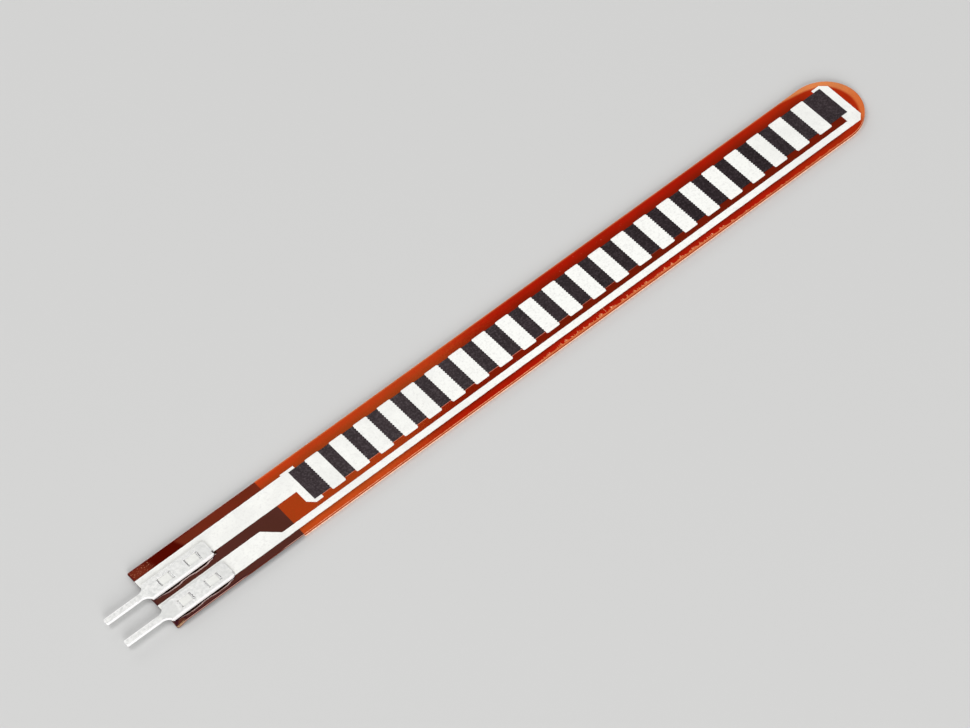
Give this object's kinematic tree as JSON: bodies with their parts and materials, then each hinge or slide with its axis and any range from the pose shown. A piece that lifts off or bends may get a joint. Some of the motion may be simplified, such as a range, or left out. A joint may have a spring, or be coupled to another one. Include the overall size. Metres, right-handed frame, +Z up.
{
  "type": "flex sensor",
  "caption": "Flat film strip with printed carbon and silver pads and crimped pins at one end; its resistance rises as it is bent.",
  "frame": {"origin": "middle of the whole length and width, on the underside of the backing film that it rests on", "axes": "+X along the strip from the pins to the round tip, +Y across it, +Z up out of the printed side"},
  "size_m": [0.0736, 0.0064, 0.0006],
  "materials": {
    "amber_film": "glossy deep amber polyimide film",
    "backing_film": "glossy amber polyimide film, cut edges paler",
    "adhesive": "clear brown laminating adhesive",
    "silver_print": "matte screen-printed silver ink",
    "carbon_print": "matte dark grey carbon ink",
    "tinned_metal": "satin tin plate, stamped"
  },
  "bodies": {
    "root": {"backing_film": "backing_film", "adhesive_layer": "adhesive", "base_film": "amber_film", "feed_trace": "silver_print", "return_trace": "silver_print", "carbon_strip": "carbon_print", "silver_pad_01": "silver_print", "silver_pad_02": "silver_print", "silver_pad_03": "silver_print", "silver_pad_04": "silver_print", "silver_pad_05": "silver_print", "silver_pad_06": "silver_print", "silver_pad_07": "silver_print", "silver_pad_08": "silver_print", "silver_pad_09": "silver_print", "silver_pad_10": "silver_print", "silver_pad_11": "silver_print", "silver_pad_12": "silver_print", "silver_pad_13": "silver_print", "silver_pad_14": "silver_print", "silver_pad_15": "silver_print", "silver_pad_16": "silver_print", "silver_pad_17": "silver_print", "silver_pad_18": "silver_print", "silver_pad_19": "silver_print", "silver_pad_20": "silver_print", "silver_pad_21": "silver_print", "silver_pad_22": "silver_print", "feed_terminal": "tinned_metal", "return_terminal": "tinned_metal"}
  },
  "joints": []
}
